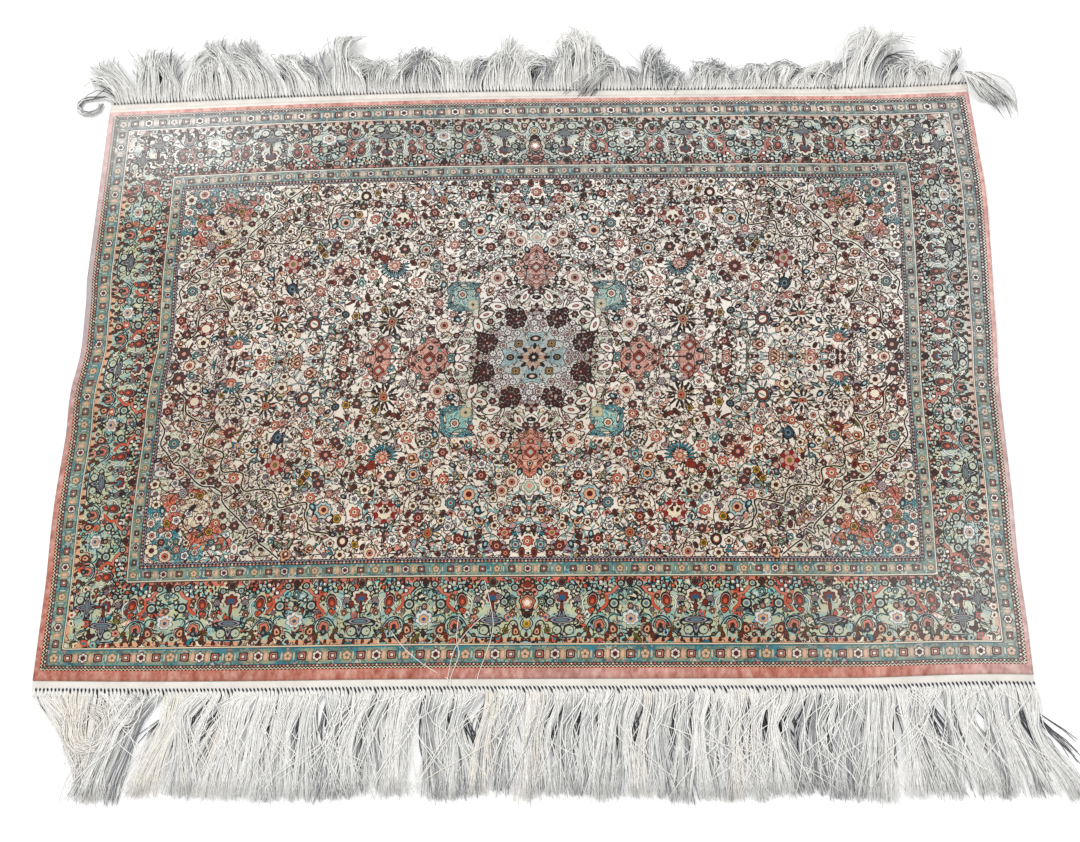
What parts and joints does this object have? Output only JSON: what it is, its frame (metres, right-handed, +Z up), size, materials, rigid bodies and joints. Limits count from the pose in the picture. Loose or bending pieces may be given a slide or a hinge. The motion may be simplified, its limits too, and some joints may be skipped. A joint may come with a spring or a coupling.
{
  "type": "silk rug",
  "caption": "Low-pile knotted silk rug with a star medallion, floral field and flowered borders, plain-woven ends and long warp fringes, lying flat on the floor.",
  "frame": {"origin": "middle of the knotted sheet, on its underside, at floor level", "axes": "+X across the warps along the rug's long side, +Y along the warps towards the crumpled fringe, +Z up out of the pile"},
  "size_m": [1.2797, 1.1069, 0.0371],
  "materials": {
    "silk_pile": "short clipped silk pile with a soft directional sheen",
    "front_warps": "undyed twisted silk",
    "back_warps": "undyed twisted silk, crumpled"
  },
  "bodies": {
    "root": {"knotted_sheet": "silk_pile", "front_fringe": "front_warps", "back_fringe": "back_warps"}
  },
  "joints": []
}
